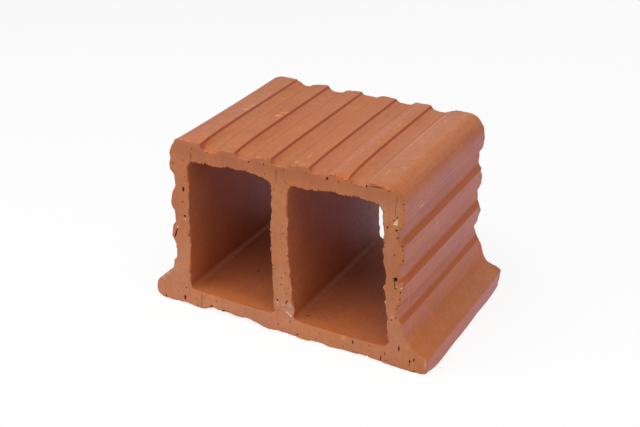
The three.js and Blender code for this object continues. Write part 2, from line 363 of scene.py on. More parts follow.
def cut_face(edges, seed):
    """A cut face inside its edge loops: points across and up, and triangles that join them."""
    rim = np.vstack(edges)
    across, up = np.meshgrid(np.arange(-150, 151, GRID), np.arange(0, 184, GRID))
    spots = np.column_stack([across.ravel(), up.ravel()])
    shake = np.random.default_rng(seed)
    spots = spots + shake.uniform(-SHAKEN, SHAKEN, spots.shape) * GRID
    near = np.full(len(spots), np.inf)
    for x, z in rim:
        near = np.minimum(near, np.hypot(spots[:, 0] - x, spots[:, 1] - z))
    spots = spots[in_clay(spots, edges) & (near > OFF_RIM)]
    points = np.vstack([rim, spots])
    ties, first = [], 0
    for loop in edges:
        ties += [(first + i, first + (i + 1) % len(loop)) for i in range(len(loop))]
        first += len(loop)
    made = delaunay_2d_cdt([Vector(p) for p in points], ties, [], 0, 1e-5)
    source = [ids[0] for ids in made[3]]
    faces = np.array([[source[i] for i in face] for face in made[2]])
    return spots, faces[in_clay(points[faces].mean(axis=1), edges)]


SKIN, CUT, BORE, TORN, STONE, LIME = range(6)       # the kinds of surface
walls = [column_rings(number) for number in range(3)]
vertices, faces, kinds = [], [], []
first = 0
rims = {FRONT: [], REAR: []}
face_spots = {}
for number, rings in enumerate(walls):
    stations, around = rings.shape[:2]
    vertices.append(rings.reshape(-1, 3))
    index = first + np.arange(stations * around).reshape(stations, around)
    a, b = index[:-1], index[1:]
    quads = np.stack([a, b, np.roll(b, -1, axis=1), np.roll(a, -1, axis=1)], axis=-1)
    faces += quads.reshape(-1, 4).tolist()
    kinds += [SKIN if number == 0 else BORE] * (quads.size // 4)
    for end in rims:
        rims[end].append(index[end])
    first += stations * around
for end in (FRONT, REAR):
    edges = [rings[end][:, [0, 2]] for rings in walls]
    spots, triangles = cut_face(edges, CUT_SEEDS[end])
    face_spots[end] = spots
    recess = cut_recess(spots, end)
    flat = recess - BACK if end == FRONT else BACK - recess
    vertices.append(np.column_stack([spots[:, 0], flat, spots[:, 1]]))
    known = np.concatenate(rims[end] + [first + np.arange(len(spots))])
    joined = known[triangles]
    corners = np.vstack(edges + [spots])[triangles]
    turn = np.cross(corners[:, 1] - corners[:, 0], corners[:, 2] - corners[:, 0])
    wrong = turn < 0 if end == FRONT else turn > 0
    joined[wrong] = joined[wrong][:, ::-1]
    faces += joined.tolist()
    kinds += [CUT] * len(joined)
    first += len(spots)


def in_scene(name, data):
    """A new object in the scene, made of this mesh, lamp or lens."""
    made = bpy.data.objects.new(name, data)
    bpy.context.scene.collection.objects.link(made)
    return made


mesh = bpy.data.meshes.new("fired_block")
mesh.from_pydata((np.vstack(vertices) * MM).tolist(), [], faces)
mesh.polygons.foreach_set("material_index", kinds)
block = in_scene("fired_block", mesh)


# Holes where grit, straw and air left the clay as the wire passed: across, up, how wide,
# how tall, how deep, and the tilt of the long way, clockwise in degrees.
PITS = [
    (-108, 130.2, 2.6, 6.4, 5, 4), (-108.5, 101.4, 2.6, 2.6, 4, 0), (-118.2, 155.3, 1.5, 2.2, 2, 0),
    (-95.3, 174.6, 1.4, 1.6, 1, 0), (-120.5, 79.6, 1.7, 14, 5, 21), (-115.4, 7.6, 2.8, 5.6, 4, 10),
    (-101.4, 10, 1.5, 1.5, 1.2, 0), (-78, 13.8, 1.5, 2.2, 1.4, -20), (-139, 2.4, 4, 1.8, 3, 80),
    (-84, 6.4, 2, 4.4, 3, 84), (-69.4, 5.6, 1.8, 3.8, 3, 76), (-33, 175, 1.3, 2.6, 2, 0),
    (-7, 36.2, 2.3, 2.3, 3, 0), (2.8, 37, 1.4, 5, 4, 26), (-2, 62, 1.4, 1.6, 1, 0),
    (6.3, 16, 1.3, 2.9, 1.2, 0), (-7, 9, 1.6, 1.6, 2, 0), (-29, 14.2, 1.2, 1.6, 1, 30),
    (13.8, 3.8, 1.4, 3.2, 3, 25), (34.2, 5.4, 1.2, 2, 2, -20), (-17, 176.3, 1.2, 2.4, 1.2, 0),
    (47.6, 176.6, 1.9, 3.8, 4, 20), (32, 169.6, 1.1, 1.2, 1, 0), (86.3, 178.2, 1.5, 2.8, 3, 10),
    (107, 143.4, 1.5, 3.2, 3, 10), (115.4, 142.4, 1.6, 3.6, 3, 65), (115.2, 92.8, 4.2, 5.4, 6, 15),
    (114.7, 87.6, 1.1, 4.4, 3, 0), (115.6, 84, 1.6, 2.6, 3, 80), (120.6, 81.2, 1.6, 2.8, 3, 15),
    (116.5, 53.5, 1.3, 2.8, 3, 0), (112.2, 50.2, 1.8, 2.6, 1, 60), (120.3, 21.2, 1.5, 6.4, 6, 0),
    (121, 42, 1.2, 1.6, 1, 0), (73.2, 14, 1.8, 4.2, 4, 0), (131.2, 11.2, 2, 3.4, 5, 0),
    (131.2, 7.6, 1.1, 1.8, 2, 0), (135.4, 14.2, 1.5, 4.8, 4, 8), (102.2, 5.8, 1.3, 7, 2, 0),
    (-29.1, 3.2, 2.2, 1.8, 2, 60), (-2.7, 3.5, 1.6, 1.4, 1.5, 0), (62.8, 6.1, 1.6, 1.2, 1.5, 80),
    (77.5, 3.7, 2.8, 1.3, 1.5, 80), (82.7, 4.3, 2.6, 1.3, 1.5, 80), (116.7, 1.9, 2.4, 1.2, 1.5, 80),
    (106.2, 12, 0.8, 4, 1, 0), (107.6, 5, 0.9, 3.2, 1, 80), (96, 179.5, 1.3, 13, 2, 86),
    (94, 181.4, 0.5, 7, 1, 84), (52, 180.6, 1, 1.6, 0.8, 60), (107.8, 178.6, 1.2, 2.6, 1.6, 60),
    (112.7, 151.6, 1.2, 2.4, 2, 30), (115.9, 154.9, 1.3, 2, 2, 30),
]
# Drying cracks, as thin as a fingernail: across, up, how long, and the tilt.
CRACKS = [
    (-96.6, 167, 7, 2), (-95.4, 9.5, 17, 0), (114, 162, 12, 3), (115.5, 172.4, 7, 8), (-4, 169, 15, 0),
    (3.5, 176.4, 6, 0), (7.6, 162.2, 7, -58),
]


def cutter_shape(form, at, size, tilt, seed, finer=2):
    """Adds one rough egg, long way up, at a place in millimetres, turned about the column."""
    made = bmesh.ops.create_icosphere(form, subdivisions=finer, radius=1)["verts"]
    turn = Matrix.Rotation(math.radians(tilt), 3, "Y")
    rough = lumps(np.array([v.co for v in made]), 0.8, seed) * 0.2 + 1
    for vertex, scale in zip(made, rough):
        vertex.co = (Vector(at) + turn @ Vector(c * s * scale for c, s in zip(vertex.co, size))) * MM


def cut_at(x, z, end=FRONT):
    """The place on a cut face, in millimetres, at that distance across and up."""
    recess = float(cut_recess(np.array([[x, z]]), end)[0])
    return (x, recess - BACK if end == FRONT else BACK - recess, z)


def crowded(x, z, taken, gap):
    """Whether another hole lies nearer than gap millimetres."""
    return any(math.hypot(x - tx, z - tz) < gap for tx, tz in taken)


pitting = bmesh.new()
cracking = bmesh.new()
for number, (x, z, wide, tall, deep, tilt) in enumerate(PITS):
    cutter_shape(pitting, cut_at(x, z), (wide / 2, deep, tall / 2), tilt, 100 + number)
for number, (x, z, long, tilt) in enumerate(CRACKS):
    thin = 0.32 if x < -90 else 0.2
    cutter_shape(cracking, cut_at(x, z), (thin, 1.2, long / 2), tilt, 200 + number, 3)
# Pinholes all over both cuts, more of them and some larger ones at the far end.
dice = np.random.default_rng(7)
for end, many in ((FRONT, 46), (REAR, 90)):
    taken = [(x, z) for x, z, *_ in PITS] if end == FRONT else []
    enough = len(taken) + many
    for number, (x, z) in enumerate(dice.permutation(face_spots[end])[:900]):
        small = end == FRONT or dice.random() < 0.8
        size = dice.uniform(0.35, 0.8) if small else dice.uniform(1, 1.9)
        lean = dice.uniform(-25, 25)
        if len(taken) >= enough:
            break
        if crowded(x, z, taken, 7):
            continue
        taken.append((x, z))
        cutter_shape(pitting, cut_at(x, z, end), (size, size * 1.5, size * dice.uniform(1, 2)),
                     lean, 300 + number, 1 if size < 0.8 else 2)
# Crumbs that the wire tore off the rims at the front, mostly off the ceilings of the
# cells, the edges of the web and the ridges: which outline, from and to across and up,
# how many, and how big across.
CRUMBLED = [
    (1, -100, -12, 156, 170, 30, 2.3), (2, 8, 104, 156, 170, 34, 2.3), (1, -14, -9, 60, 156, 16, 2.2),
    (1, -14, -9, 20, 60, 5, 1.6), (2, 4, 11, 40, 150, 16, 1.9), (2, 100, 112, 25, 110, 9, 1.6),
    (2, 100, 112, 122, 162, 11, 1.8), (1, -109, -100, 30, 158, 18, 1.9), (0, 92, 120, 172, 184, 8, 1.6),
    (0, 40, 118, 174, 184, 16, 1.7), (0, -118, 40, 174, 184, 34, 1.7), (0, 115, 126, 60, 172, 26, 1.9),
    (0, -127, -116, 40, 172, 20, 1.5), (0, -140, 140, 0, 6, 34, 2.2),
]
crumb_dice = np.random.default_rng(19)
taken = [(x, z) for x, z, *_ in PITS + CRACKS]
for number, left, right, bottom, top, many, wide in CRUMBLED:
    enough = len(taken) + many
    rim = walls[number][FRONT][:, [0, 2]]
    rim = rim[(rim[:, 0] > left) & (rim[:, 0] < right) & (rim[:, 1] > bottom) & (rim[:, 1] < top)]
    for x, z in crumb_dice.permutation(rim):
        size = 0.5 * wide * crumb_dice.uniform(0.4, 1.3)
        if crowded(x, z, taken, 2.4 + size):
            continue
        taken.append((x, z))
        cutter_shape(pitting, (x, crumb_dice.uniform(0, 0.3) - BACK, z),
                     (size, size * crumb_dice.uniform(0.8, 1.6), size * crumb_dice.uniform(0.6, 1.2)),
                     crumb_dice.uniform(-90, 90), 600 + len(taken), 1 if size < 0.45 else 2)
        if len(taken) == enough:
            break
# Two gouges on the floors of the cells, where something was dragged out of the clay.
cutter_shape(pitting, (-67.2, -28, 19.1), (0.8, 3.4, 1.1), 0, 401)
cutter_shape(pitting, (18.8, -78, 18.6), (1.4, 2, 0.8), 0, 402)

# Grains of burnt lime that came with the clay, flush with the cut: across, up, and how far
# they reach each way. One more is a splinter.
grains = bmesh.new()
GRAINS = [
    (116.7, 85.7, 0.9, 1.1), (121.2, 85.6, 1, 1.1), (-118, 87.2, 1, 1.4), (-108, 98.2, 0.9, 1.2),
    (105.9, 67.3, 0.7, 0.9), (7.2, 22.4, 1.3, 1.6), (4.6, 24.4, 0.8, 0.9), (-7, 33.6, 0.7, 1.3),
]
for number, (x, z, wide, tall) in enumerate(GRAINS):
    behind_cut = max(cut_at(x, z)[1] + 0.5, 0.9 - BACK)
    cutter_shape(grains, (x, behind_cut, z), (wide, 0.75, tall), 10, 500 + number)
x, z = 4, 24.8
cutter_shape(grains, (x, cut_at(x, z)[1] + 0.35, z), (0.6, 0.7, 3.8), -62, 510)
for face in grains.faces:
    face.material_index = LIME
# A four-sided piece of pale stone, cut through by the wire.
corners = [(111.7, 147.4), (116.4, 147.2), (116.6, 153.9), (114.3, 151.1)]
front_ring = [grains.verts.new((x * MM, (0.25 - BACK) * MM, z * MM)) for x, z in corners]
deep_ring = [grains.verts.new((x * MM, (4 - BACK) * MM, z * MM)) for x, z in corners]
sides = [grains.faces.new(front_ring), grains.faces.new(deep_ring[::-1])]
for k in range(4):
    sides.append(grains.faces.new([front_ring[k], deep_ring[k], deep_ring[k - 3], front_ring[k - 3]]))
for face in sides:
    face.material_index = STONE
bmesh.ops.recalc_face_normals(grains, faces=grains.faces)


def worked(target, form, name, operation):
    """Cuts a form out of the block, or joins it on, and leaves one closed mesh."""
    tool_mesh = bpy.data.meshes.new(name)
    form.to_mesh(tool_mesh)
    form.free()
    if operation == "DIFFERENCE":
        tool_mesh.polygons.foreach_set("material_index", [TORN] * len(tool_mesh.polygons))
    tool = in_scene(name, tool_mesh)
    for material in target.data.materials:
        tool_mesh.materials.append(material)
    step = target.modifiers.new(name, "BOOLEAN")
    step.operation, step.solver, step.object = operation, "MANIFOLD", tool
    bpy.context.view_layer.update()
    result = bpy.data.meshes.new_from_object(target.evaluated_get(bpy.context.evaluated_depsgraph_get()))
    target.modifiers.remove(step)
    target.data = result
    bpy.data.objects.remove(tool)


# ---------------------------------------------------------------- the fired clay
# Common red clay, fired about 900 degrees and left unglazed: matt, porous, with a skin
# smoothed by the die outside and in the cells, and an open grain where the wire cut.


def linear(code):
    """A hex colour as Blender's linear one."""
    parts = [int(code[k:k + 2], 16) / 255 for k in (1, 3, 5)]
    return [c / 12.92 if c <= 0.04045 else ((c + 0.055) / 1.055) ** 2.4 for c in parts] + [1]


def add(tree, kind, inputs=(), **settings):
    """Adds a node with its settings, and fills or links its inputs, by name or by number.

    The numbers of a Map Range are 1 and 2 for what it takes, 3 and 4 for what it gives. Those of
    a Mix are 0 for the share, 2 and 3 for two values, 6 and 7 for two colours.
    """
    made = tree.nodes.new("ShaderNode" + kind)
    for name, value in settings.items():
        setattr(made, name, value)
    for socket, value in dict(inputs).items():
        if isinstance(value, bpy.types.NodeSocket):
            tree.links.new(value, made.inputs[socket])
        else:
            made.inputs[socket].default_value = value
    return made.outputs[0]


def per_mm(size):
    """A noise scale whose features are about that many millimetres wide."""
    return 1 / (size * MM)


# Straw-coloured flecks pressed into the skin by the die, and a few dark and grey ones:
# across, along from the middle, up, how far each reaches, the turn in degrees, how strong, the
# hue.
RAGGED = 3                              # millimetres that their edges wander
STRAW, GREY, DARK = "#D89A54", "#A58478", "#7A3B22"
FLECKS = [
    (-90.5, -2.8, 183, 2.3, 4, 4, -61, 0.9, STRAW), (-90.6, 7.8, 183, 2.8, 4, 4, -61, 0.5, STRAW),
    (-54.2, -2, 183, 2.8, 5, 4, -61, 1.0, "#DA9240"), (-52.9, 7.1, 183, 2.6, 4.6, 4, -61, 0.5, STRAW),
    (58.8, 32, 183, 1.6, 2.4, 4, 20, 0.7, STRAW), (59.5, -14, 183, 1.1, 2, 4, 0, 0.6, STRAW),
    (18.3, -69, 183, 0.9, 7, 4, 12, 0.7, STRAW), (94.3, -65.5, 183, 0.9, 8, 4, 4, 0.7, STRAW),
    (93.3, 61, 183, 1.6, 2.2, 4, 0, 0.5, "#D9B49A"), (103.3, -51, 182, 2.4, 2, 4, -61, 0.45, STRAW),
    (14, -84, 183, 2.4, 2.2, 4, 0, 0.7, STRAW), (-20, -20, 183, 1, 3, 4, 15, 0.4, STRAW),
    (32, 48, 179, 1.4, 2, 4, 0, 0.5, STRAW), (-30, 60, 183, 1.2, 2.2, 4, 10, 0.4, STRAW),
    (11, 10, 183, 0.8, 1.2, 4, 0, 0.8, DARK), (-62, 62, 183, 0.7, 1.1, 4, 0, 0.6, DARK),
    (-94.6, 23.9, 183, 0.7, 1.1, 4, 0, 0.7, DARK),
    (123, -54, 152, 5, 6, 1.7, 0, 1.0, "#D8953F"), (121.5, -18.6, 119, 5, 1, 8, 0, 0.8, "#D08A45"),
    (126.5, -57, 31, 5, 2, 2, 0, 0.4, GREY), (126.5, 1, 25, 5, 2.6, 2.6, 0, 0.3, GREY),
    (149.5, 27, 18.5, 4, 2.5, 1.6, 0, 0.8, "#C4691F"),
    (122, 74, 125, 5, 5, 3.4, 0, 0.7, GREY), (121, 71, 80, 5, 4, 3, 0, 0.6, GREY),
]
# Fine pale lines along the whole column are painted highlights where the left shoulders of the ridges on
# top and the shoulders of the grooves at the right catch the light: the axis each is placed on, where, how
# wide and how strong.
PAINTED_SHOULDER_HIGHLIGHTS = [
    ("X", 87.4, 0.5, 0.55), ("X", 10.4, 0.3, 0.35), ("X", 53.2, 0.3, 0.3), ("X", -28, 0.3, 0.3),
    ("Z", 156.2, 0.5, 0.22), ("Z", 162.5, 0.3, 0.15), ("Z", 118.5, 0.3, 0.2), ("Z", 84.5, 0.3, 0.15),
]
# The steep flanks of the ridges on top and of the grooves at the right are painted darker and redder. This
# is painted shade where they face away from the light and lie in the corners of the grooves: the way they
# face, from how steep on, how strongly, the hue, and where.
PAINTED_SHADE_FLANKS = [
    ("X", 0.3, 0.6, "#922600", [("Z", 174, "GREATER_THAN"), ("X", 100, "LESS_THAN")]),
    ("Z", 0.15, 0.7, "#B65400", [("X", 112, "GREATER_THAN"), ("Z", 47, "GREATER_THAN"),
                                 ("Z", 160, "LESS_THAN")]),
]
# Crushed brick and straw in the clay leave dark and pale specks of about a millimetre: how
# far apart, how large against that, the hue, and a shift so that the two kinds don't meet.
SPECKS = [(3.1, 0.17, "#7A3D22", 0.0), (4.3, 0.13, "#D9A06E", 3.7)]
# What lies on the clay in places, painted point by point further down: straw-coloured dust, a bloom of
# lime, darker clay, and raw torn clay. Some smears in these layers paint light and shade instead, as noted
# where they are listed.
SMEAR_HUES = {"pale": "#D79A63", "lime": "#C7A9A4", "shade": "#9A4A14", "orange": "#BE6216"}


def flecks(tree, place):
    """How strongly each fleck shows, and its hue."""
    found = []
    for x, y, z, across, along, up, turn, strength, hue in FLECKS:
        local = add(tree, "Mapping", {
            "Vector": place, "Location": [(c + RAGGED / 2) * MM for c in (x, y, z)],
            "Rotation": (0, 0, math.radians(turn)),
            "Scale": [c * MM for c in (across, along, up)]}, vector_type="TEXTURE")
        away = add(tree, "VectorMath", {0: local}, operation="LENGTH").node.outputs["Value"]
        amount = add(tree, "MapRange", {"Value": away, 1: 1.0, 2: 0.6, 3: 0.0, 4: strength})
        found.append((amount, hue))
    return found


def flank_shade_and_shoulder_highlights(tree, place, drag):
    """How strongly the painted shade on the steep flanks and the painted highlights along the shoulders
    show, and their hues.
    """
    found = []
    parts = add(tree, "SeparateXYZ", {0: place}).node
    faces = add(tree, "TexCoord").node.outputs["Normal"]
    faces = add(tree, "SeparateXYZ", {0: faces}).node
    for way, sets_in, most, hue, limits in PAINTED_SHADE_FLANKS:
        steep = add(tree, "MapRange", {"Value": faces.outputs[way], 1: sets_in, 2: sets_in + 0.4, 4: most})
        for axis, limit, side in limits:
            within = add(tree, "Math", {0: parts.outputs[axis], 1: limit * MM}, operation=side)
            steep = add(tree, "Math", {0: steep, 1: within}, operation="MULTIPLY")
        found.append((steep, hue))
    # The pale lines are painted highlights on the shoulders, broken up by the streaks.
    for axis, where, wide, strength in PAINTED_SHOULDER_HIGHLIGHTS:
        off = add(tree, "Math", {0: parts.outputs[axis], 1: where * MM, 2: wide * MM}, operation="COMPARE")
        # Those placed across show on the top face only, and those placed up at the right.
        other, limit = ("Z", 176) if axis == "X" else ("X", 110)
        beyond = add(tree, "Math", {0: parts.outputs[other], 1: limit * MM}, operation="GREATER_THAN")
        amount = add(tree, "MapRange", {"Value": drag, 1: 0.35, 2: 0.6, 3: 0.2, 4: strength})
        for within in (off, beyond):
            amount = add(tree, "Math", {0: amount, 1: within}, operation="MULTIPLY")
        found.append((amount, "#D8AF98"))
    return found


def clay(name, tones, grain_mm, grain_bump, streak, streak_depth, roughness, flecks_and_painted_light=False):
    """Fired clay: two tones, perhaps a rosy third, a way that the clay slid, and a grain."""
    material = bpy.data.materials.new(name)
    material.use_nodes = True
    tree = material.node_tree
    shader = tree.nodes["Principled BSDF"]
    place = add(tree, "TexCoord").node.outputs["Object"]
    slid = add(tree, "Mapping", {0: place, 3: streak})
    # Clouds from the mixing, mottling from the firing, streaks from the sliding, and a grain.
    # Real grains are 0.2 to 0.5 mm, too fine to show, so they are drawn about 1 mm wide.
    cloud = add(tree, "TexNoise", {"Vector": place, "Scale": per_mm(34), "Detail": 3.0})
    mottle = add(tree, "TexNoise", {"Vector": place, "Scale": per_mm(5.5), "Detail": 3.0, "Roughness": 0.6})
    drag = add(tree, "TexNoise", {"Vector": slid, "Scale": per_mm(3.2), "Detail": 3.0, "Roughness": 0.55})
    grain = add(tree, "TexNoise", {"Vector": place, "Scale": per_mm(grain_mm), "Detail": 2.0,
                                   "Roughness": 0.7})
    tone = add(tree, "MapRange", {"Value": cloud, 1: 0.35, 2: 0.65})
    colour = add(tree, "Mix", {0: tone, 6: linear(tones[0]), 7: linear(tones[1])},
                 data_type="RGBA").node.outputs[2]
    if len(tones) > 2:
        apart = add(tree, "SeparateColor", {0: drag.node.outputs["Color"]}).node
        rosy = add(tree, "MapRange", {"Value": apart.outputs[2], 1: 0.42, 2: 0.62, 4: 0.42})
        colour = add(tree, "Mix", {0: rosy, 6: colour, 7: linear(tones[2])},
                     data_type="RGBA").node.outputs[2]
    for noise, depth in ((mottle, 0.10), (drag, streak_depth), (grain, 0.10)):
        light = add(tree, "MapRange", {"Value": noise, 1: 0.25, 2: 0.75, 3: 1 - depth, 4: 1 + depth})
        colour = add(tree, "VectorMath", {0: colour, 3: light}, operation="SCALE")
    # What lies in the clay and on it, and on the skin the painted shade and highlights, from below: how
    # strongly each shows, and its hue.
    layers = []
    for apart_mm, large, hue, shift in SPECKS:
        cells = add(tree, "TexVoronoi", {
            "Vector": add(tree, "VectorMath", {0: place, 1: (shift, shift, shift)}),
            "Scale": per_mm(apart_mm)})
        dot = add(tree, "MapRange", {"Value": cells, 1: large, 2: large * 0.5, 3: 0.0, 4: 0.6})
        rare = add(tree, "Math", {0: cells.node.outputs["Color"], 1: 0.72}, operation="GREATER_THAN")
        layers.append((add(tree, "Math", {0: dot, 1: rare}, operation="MULTIPLY"), hue))
    broken = add(tree, "MapRange", {"Value": mottle, 1: 0.3, 2: 0.6, 3: 0.5, 4: 1.0})
    for layer, hue in SMEAR_HUES.items():
        amount = add(tree, "Attribute", attribute_name=layer).node.outputs["Fac"]
        layers.append((add(tree, "Math", {0: amount, 1: broken}, operation="MULTIPLY"), hue))
    # On the skin: straw flecks, painted shade on the steep flanks and painted highlights along the
    # shoulders.
    if flecks_and_painted_light:
        ragged = add(tree, "VectorMath", {0: mottle.node.outputs["Color"], 1: [RAGGED * MM] * 3, 2: place},
                     operation="MULTIPLY_ADD")
        layers += flecks(tree, ragged) + flank_shade_and_shoulder_highlights(tree, place, drag)
    for amount, hue in layers:
        colour = add(tree, "Mix", {0: amount, 6: colour, 7: linear(hue)}, data_type="RGBA").node.outputs[2]
    tree.links.new(colour, shader.inputs["Base Color"])
    height = add(tree, "Math", {0: grain, 1: grain_bump * MM}, operation="MULTIPLY")
    height = add(tree, "Math", {0: drag, 1: streak_depth * MM, 2: height}, operation="MULTIPLY_ADD")
    height = add(tree, "Math", {0: mottle, 1: 0.18 * MM, 2: height}, operation="MULTIPLY_ADD")
    bump = add(tree, "Bump", {"Height": height, "Strength": 1.0, "Distance": 1.0})
    tree.links.new(bump, shader.inputs["Normal"])
    shader.inputs["Roughness"].default_value = roughness
    shader.inputs["IOR"].default_value = 1.6
    return material


# The smaller the number, the longer the streaks that way.
ALONG_COLUMN, WITH_WIRE, EVENLY = (1, 0.03, 1), (1, 1, 0.06), (1, 1, 1)
# The die left the outside sleek: a low sheen, with streaks along the column.
skin = clay("die_smoothed_clay", ("#B6642B", "#BF6C30", "#B36A50"), 1.3, 0.06, ALONG_COLUMN, 0.05, 0.42,
            flecks_and_painted_light=True)
# The wire left the cuts open and dull, with streaks up and down.
cut = clay("wire_cut_clay", ("#B26727", "#BC7132", "#B06C4E"), 1.1, 0.18, WITH_WIRE, 0.06, 0.6)
# The cores left the cells smooth and dull. Their tones are darker and browner than the skin's, partly their
# own colour and partly painted shade for the dim insides of the cells.
bore = clay("core_smoothed_clay", ("#A85726", "#AE5D2A", "#9F573C"), 1.3, 0.06, ALONG_COLUMN, 0.05, 0.62)
# Clay torn open in the pits and cracks is coarse and dull, and its dark tones are painted shade in the
# holes and hollows.
torn = clay("torn_clay", ("#8C4A2A", "#A0582F"), 1.0, 0.35, EVENLY, 0.05, 0.8)
# The stone is straw-coloured and dull, and the burnt lime is chalky, nearly white.
stone = clay("pale_stone", ("#D8B48C", "#E2C49C"), 1.0, 0.15, EVENLY, 0.05, 0.7)
lime = clay("burnt_lime", ("#C9C2C4", "#D8D2D4"), 1.0, 0.15, EVENLY, 0.05, 0.7)
for material in (skin, cut, bore, torn, stone, lime):
    mesh.materials.append(material)

worked(block, pitting, "pits", "DIFFERENCE")
worked(block, cracking, "cracks", "DIFFERENCE")
worked(block, grains, "grains", "UNION")
mesh = block.data

# Smears on the clay, some of them painted light and shade, as amounts from 0 to 1 at the points of the
# mesh: across, along from the middle, up, how far it reaches each way in millimetres, and how strong.
SMEARS = {
    # Straw-coloured dust. The first smear, on the floor of the left cell by its mouth, and the last, low on
    # the web, are painted light: the light from the front falling into the cell, and a lighter lower front.
    "pale": [
        (-60, -84, 19, 55, 8, 4, 0.25), (-103, -91, 182, 14, 2.5, 1.6, 0.8),
        (-58, -91, 181.5, 10, 1.5, 1.2, 0.6), (-27, -91, 182, 6, 2, 1.5, 0.8),
        (3, -91, 178.4, 9, 2, 1.2, 0.5), (22, -87, 183, 3, 3, 1.5, 0.6), (-118, -91, 176, 5, 3, 4, 0.3),
        (64.4, -91, 15.4, 3, 1.5, 3, 0.9), (113.5, -91, 51, 2, 1, 5, 0.35), (-2, -91, 60, 7, 3, 14, 0.1),
    ],
    # A bloom of lime. The broad smears low on the front face are partly that bloom and partly painted
    # light: the paler, bluer light that the paper throws up onto the lower front.
    "lime": [
        (116, -91, 32, 15, 3, 24, 0.1), (111, -91, 128, 7, 3, 14, 0.09), (108, -91, 163, 12, 3, 12, 0.08),
        (-120, -91, 34, 22, 3, 30, 0.11), (-40, -91, 10, 70, 3, 10, 0.08), (-3, -91, 48, 12, 3, 20, 0.1),
        (90, -91, 10, 30, 3, 10, 0.08), (-7.5, -91, 32.6, 1.6, 1, 3, 0.8),
        (-1, -91, 33, 2.2, 1, 1.4, 0.7), (6, -91, 33.5, 2.4, 1, 2.6, 0.7), (4.5, -91, 27, 6, 1, 3, 0.35),
        (112.6, -91, 52.6, 1.8, 1, 1.6, 0.8), (-141, -91, 24.4, 4, 1.5, 2.2, 0.7),
        (-134.5, -91, 30, 4, 1.5, 2.4, 0.7), (146.8, -91, 13, 1.2, 1.5, 5, 0.9),
        # The first smear below, on the inner wall of the right cell towards its far end, is partly a pale
        # bloom and partly painted light coming in through the far opening.
        (11, 68, 58, 8, 40, 54, 0.42), (149, 62, 16, 6, 40, 10, 0.1), (-95, 0, 183, 20, 90, 6, 0.13),
        (92, 10, 181, 14, 110, 8, 0.16), (50, 15, 181, 10, 110, 8, 0.11), (1, -91, 16, 9, 1, 5, 0.2),
    ],
    # Darker clay and painted shade. The broad smears along the top of the front face are partly darker,
    # redder clay and partly painted shade, so the front is darker towards its top. The two at 118.5 across
    # paint the shadows in two notches at the right edge, and the broad one low at the right paints shade on
    # the lower right of the front.
    "shade": [
        (-40, -91, 172, 22, 3, 10, 0.5), (112, -91, 64, 8, 3, 12, 0.2), (-92, -91, 172, 34, 3, 14, 0.65),
        (-58, -91, 173, 26, 3, 11, 0.65), (57, -91, 175, 14, 3, 9, 0.5), (113, -91, 95, 12, 3, 26, 0.5),
        (0, -91, 176, 220, 3, 10, 0.55), (-112, -91, 116, 12, 3, 22, 0.3),
        (118.5, -91, 100, 1.5, 2, 9, 0.7), (118.5, -91, 134, 1.5, 2, 6, 0.7),
        (90.4, 90, 182.6, 2, 2, 1.5, 1.0), (108, -91, 8, 60, 3, 14, 0.25),
        (106.5, -91, 12, 1.5, 1, 4, 0.4), (-97, -91, 167, 1.5, 1, 4, 0.4),
    ],
    # Raw torn clay. The first two, on the floors of both cells by their mouths, are partly an orange tone
    # and partly painted light, where the light from the front falls into the cells.
    "orange": [
        (-60, -84, 19, 55, 9, 4, 0.6), (60, -84, 18.5, 55, 8, 4, 0.3), (-105, -74, 42, 5, 16, 26, 0.3),
        (9, -76, 62, 5, 20, 50, 0.25), (62.5, -89, 181, 8, 5.5, 5, 1.0), (106, -91, 181, 13, 4, 4, 1.0),
        (101, -90, 182, 6, 3, 1.6, 0.5), (150, -30, 9, 5, 90, 9, 0.5),
        (-104, -91, 180.4, 15, 2.5, 2, 0.7), (-60, -91, 180, 14, 2, 1.8, 0.6),
        (-14, -91, 181, 14, 2, 1.8, 0.5), (24, -91, 181.5, 10, 2, 1.8, 0.5),
        (121.8, -91, 160, 2.4, 2.5, 13, 0.9), (119.3, -91, 135, 2, 2.5, 9, 0.7),
        (123, -91, 118, 2, 2, 9, 0.6), (118, -91, 99, 2, 2, 7, 0.6), (40, -91, 163, 30, 2, 2.2, 0.7),
        (85, -91, 166, 14, 2, 2, 0.6), (-22, -91, 163, 9, 2, 2.2, 0.8), (-70, -91, 162, 26, 2, 1.6, 0.5),
        (5, -91, 108, 2, 2, 4, 0.9),
    ],
}


def torn_rims(points):
    """How raw the clay looks along the rims of both cuts, from 0 to 1, in broken patches."""
    amount = np.zeros(len(points))
    for end, way in ((FRONT, -1), (REAR, 1)):
        close = np.flatnonzero(points[:, 1] * way > BACK - 2.5)
        rim = np.vstack([rings[end] for rings in walls])
        gap = np.array([np.sqrt(((rim - point) ** 2).sum(axis=1).min()) for point in points[close]])
        patch = np.clip(0.5 + 1.1 * lumps(points[close][:, [0, 2]], 13, 91), 0, 1)
        patch *= np.clip(0.6 + 0.9 * lumps(points[close][:, [0, 2]], 2.4, 92), 0, 1)
        amount[close] = patch * np.exp(-(gap / 1.6) ** 2)
    return amount


spots = np.empty(len(mesh.vertices) * 3)
mesh.vertices.foreach_get("co", spots)
spots = spots.reshape(-1, 3) / MM
for layer, smears in SMEARS.items():
    amount = np.zeros(len(spots))
    for x, y, z, across, along, up, strength in smears:
        far = (spots - [x, y, z]) / [across, along, up]
        amount = np.maximum(amount, strength * np.exp(-(far ** 2).sum(axis=1)))
    if layer == "orange":
        amount = np.maximum(amount, torn_rims(spots))
    field = mesh.attributes.new(layer, "FLOAT", "POINT")
    field.data.foreach_set("value", amount.astype(np.float32))

mesh.shade_smooth()
mesh.set_sharp_from_angle(angle=math.radians(42))
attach(block, "root")
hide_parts(NODE)


# ---------------------------------------------------------------- the table
# A wide sheet of matt white paper under the block, so pale that it runs out to white and
# keeps only the block's own soft shadow.

